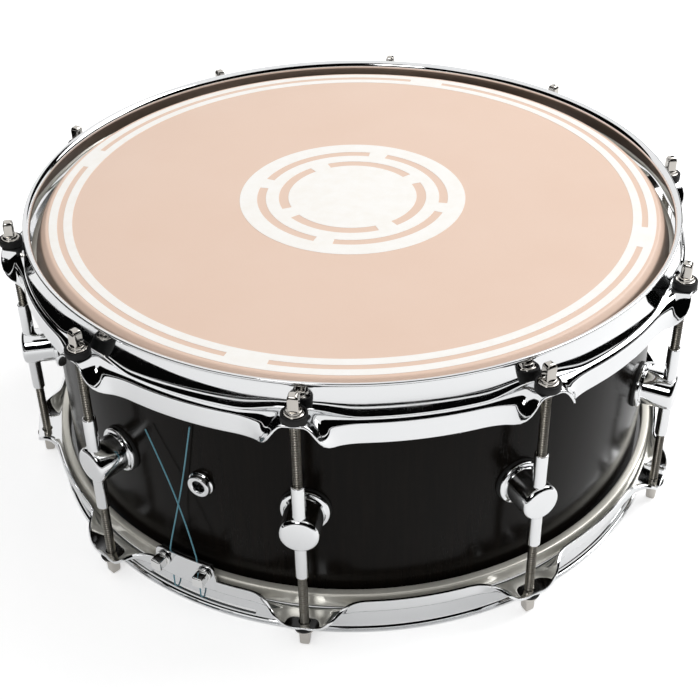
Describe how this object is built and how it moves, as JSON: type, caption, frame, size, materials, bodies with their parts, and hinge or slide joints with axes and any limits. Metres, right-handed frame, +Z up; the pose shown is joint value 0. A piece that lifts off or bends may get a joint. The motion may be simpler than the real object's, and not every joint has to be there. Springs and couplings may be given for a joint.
{
  "type": "snare drum",
  "caption": "Snare drum with a black shell, chrome pressed hoops, tube lugs with tension rods, a peach batter head with a pale dot and edge ring, snare wires and a throw-off.",
  "frame": {"origin": "centre of the lower hoop's lip, on the surface that the drum stands on", "axes": "+Z up through the batter head; the picture looks along +Y, with +X to its right"},
  "size_m": [0.398, 0.3998, 0.1652],
  "materials": {
    "shell": "black satin lacquer",
    "batter_film": "coated peach film",
    "snare_film": "thin clear film",
    "print": "matt cream",
    "flesh_hoop": "satin",
    "hoop_chrome": "bright chrome plate",
    "lug_chrome": "bright chrome plate",
    "gasket": "matt black",
    "plain_steel": "zinc plate",
    "rod_nickel": "nickel plate, rolled thread",
    "rod_washer": "black nylon",
    "vent_chrome": "bright chrome plate",
    "clamp_bar": "black",
    "clamp_screw": "bright chrome plate",
    "snare_wire": "bare steel",
    "strainer_chrome": "bright chrome plate",
    "cord": "blue braided cord"
  },
  "bodies": {
    "drum": {"shell": "shell", "batter_film": "batter_film", "batter_flesh_hoop": "flesh_hoop", "control_ring": "print", "centre_dot": "print", "snare_side_film": "snare_film", "snare_side_flesh_hoop": "flesh_hoop", "batter_hoop": "hoop_chrome", "snare_side_hoop": "hoop_chrome", "lug_posts": "lug_chrome", "lug_tubes": "lug_chrome", "lug_gaskets": "gasket", "lug_screws": "plain_steel", "lug_washers": "plain_steel", "batter_rod_washers": "rod_washer", "snare_rod_washers": "rod_washer", "vent_grommet": "vent_chrome", "vent_nut": "plain_steel", "butt_clamp_bar": "clamp_bar", "butt_screws": "clamp_screw", "snare_wires": "snare_wire", "snare_end_plate_butt": "plain_steel", "snare_end_plate_strainer": "plain_steel", "strainer_base": "strainer_chrome", "strainer_base_screws": "plain_steel", "strainer_pivot_pin": "plain_steel", "butt_cords": "cord", "strainer_cords": "cord", "snare_cord_left": "cord", "snare_cord_right": "cord"},
    "batter_rod_01": {"batter_rod_01": "rod_nickel"},
    "batter_rod_02": {"batter_rod_02": "rod_nickel"},
    "batter_rod_03": {"batter_rod_03": "rod_nickel"},
    "batter_rod_04": {"batter_rod_04": "rod_nickel"},
    "batter_rod_05": {"batter_rod_05": "rod_nickel"},
    "batter_rod_06": {"batter_rod_06": "rod_nickel"},
    "batter_rod_07": {"batter_rod_07": "rod_nickel"},
    "batter_rod_08": {"batter_rod_08": "rod_nickel"},
    "batter_rod_09": {"batter_rod_09": "rod_nickel"},
    "batter_rod_10": {"batter_rod_10": "rod_nickel"},
    "snare_rod_01": {"snare_rod_01": "rod_nickel"},
    "snare_rod_02": {"snare_rod_02": "rod_nickel"},
    "snare_rod_03": {"snare_rod_03": "rod_nickel"},
    "snare_rod_04": {"snare_rod_04": "rod_nickel"},
    "snare_rod_05": {"snare_rod_05": "rod_nickel"},
    "snare_rod_06": {"snare_rod_06": "rod_nickel"},
    "snare_rod_07": {"snare_rod_07": "rod_nickel"},
    "snare_rod_08": {"snare_rod_08": "rod_nickel"},
    "snare_rod_09": {"snare_rod_09": "rod_nickel"},
    "snare_rod_10": {"snare_rod_10": "rod_nickel"},
    "strainer_slider": {"strainer_slider": "strainer_chrome", "strainer_clamp_plate": "plain_steel", "strainer_clamp_screws": "plain_steel"},
    "strainer_lever": {"strainer_lever": "strainer_chrome"},
    "strainer_knob": {"strainer_knob": "strainer_chrome"}
  },
  "joints": [
    {"name": "batter_rod_01_turn", "type": "hinge", "parent": "drum", "child": "batter_rod_01", "pos_m": [0.19105, 0.03369, 0.12], "axis": [0, 0, 1], "continuous": true},
    {"name": "batter_rod_02_turn", "type": "hinge", "parent": "drum", "child": "batter_rod_02", "pos_m": [0.13476, 0.13955, 0.12], "axis": [0, 0, 1], "continuous": true},
    {"name": "batter_rod_03_turn", "type": "hinge", "parent": "drum", "child": "batter_rod_03", "pos_m": [0.027, 0.19211, 0.12], "axis": [0, 0, 1], "continuous": true},
    {"name": "batter_rod_04_turn", "type": "hinge", "parent": "drum", "child": "batter_rod_04", "pos_m": [-0.09108, 0.17129, 0.12], "axis": [0, 0, 1], "continuous": true},
    {"name": "batter_rod_05_turn", "type": "hinge", "parent": "drum", "child": "batter_rod_05", "pos_m": [-0.17437, 0.08504, 0.12], "axis": [0, 0, 1], "continuous": true},
    {"name": "batter_rod_06_turn", "type": "hinge", "parent": "drum", "child": "batter_rod_06", "pos_m": [-0.19105, -0.03369, 0.12], "axis": [0, 0, 1], "continuous": true},
    {"name": "batter_rod_07_turn", "type": "hinge", "parent": "drum", "child": "batter_rod_07", "pos_m": [-0.13476, -0.13955, 0.12], "axis": [0, 0, 1], "continuous": true},
    {"name": "batter_rod_08_turn", "type": "hinge", "parent": "drum", "child": "batter_rod_08", "pos_m": [-0.027, -0.19211, 0.12], "axis": [0, 0, 1], "continuous": true},
    {"name": "batter_rod_09_turn", "type": "hinge", "parent": "drum", "child": "batter_rod_09", "pos_m": [0.09108, -0.17129, 0.12], "axis": [0, 0, 1], "continuous": true},
    {"name": "batter_rod_10_turn", "type": "hinge", "parent": "drum", "child": "batter_rod_10", "pos_m": [0.17437, -0.08504, 0.12], "axis": [0, 0, 1], "continuous": true},
    {"name": "snare_rod_01_turn", "type": "hinge", "parent": "drum", "child": "snare_rod_01", "pos_m": [0.19105, 0.03369, 0.04], "axis": [0, 0, 1], "continuous": true},
    {"name": "snare_rod_02_turn", "type": "hinge", "parent": "drum", "child": "snare_rod_02", "pos_m": [0.13476, 0.13955, 0.04], "axis": [0, 0, 1], "continuous": true},
    {"name": "snare_rod_03_turn", "type": "hinge", "parent": "drum", "child": "snare_rod_03", "pos_m": [0.027, 0.19211, 0.04], "axis": [0, 0, 1], "continuous": true},
    {"name": "snare_rod_04_turn", "type": "hinge", "parent": "drum", "child": "snare_rod_04", "pos_m": [-0.09108, 0.17129, 0.04], "axis": [0, 0, 1], "continuous": true},
    {"name": "snare_rod_05_turn", "type": "hinge", "parent": "drum", "child": "snare_rod_05", "pos_m": [-0.17437, 0.08504, 0.04], "axis": [0, 0, 1], "continuous": true},
    {"name": "snare_rod_06_turn", "type": "hinge", "parent": "drum", "child": "snare_rod_06", "pos_m": [-0.19105, -0.03369, 0.04], "axis": [0, 0, 1], "continuous": true},
    {"name": "snare_rod_07_turn", "type": "hinge", "parent": "drum", "child": "snare_rod_07", "pos_m": [-0.13476, -0.13955, 0.04], "axis": [0, 0, 1], "continuous": true},
    {"name": "snare_rod_08_turn", "type": "hinge", "parent": "drum", "child": "snare_rod_08", "pos_m": [-0.027, -0.19211, 0.04], "axis": [0, 0, 1], "continuous": true},
    {"name": "snare_rod_09_turn", "type": "hinge", "parent": "drum", "child": "snare_rod_09", "pos_m": [0.09108, -0.17129, 0.04], "axis": [0, 0, 1], "continuous": true},
    {"name": "snare_rod_10_turn", "type": "hinge", "parent": "drum", "child": "snare_rod_10", "pos_m": [0.17437, -0.08504, 0.04], "axis": [0, 0, 1], "continuous": true},
    {"name": "lever_throw", "type": "hinge", "parent": "drum", "child": "strainer_lever", "pos_m": [0.09187, 0.16574, 0.095], "axis": [0.8746, -0.4848, 0], "range_deg": [0, 90]},
    {"name": "slider_travel", "type": "slide", "parent": "drum", "child": "strainer_slider", "axis": [0, 0, 1], "range_m": [-0.006, 0], "deforming": ["strainer_cords"]},
    {"name": "knob_turn", "type": "hinge", "parent": "strainer_slider", "child": "strainer_knob", "pos_m": [0.09066, 0.16355, 0.085], "axis": [0, 0, 1], "continuous": true}
  ],
  "couplings": [
    {"joint": "slider_travel", "follows": "lever_throw", "m_per_rad": -0.0038197}
  ]
}
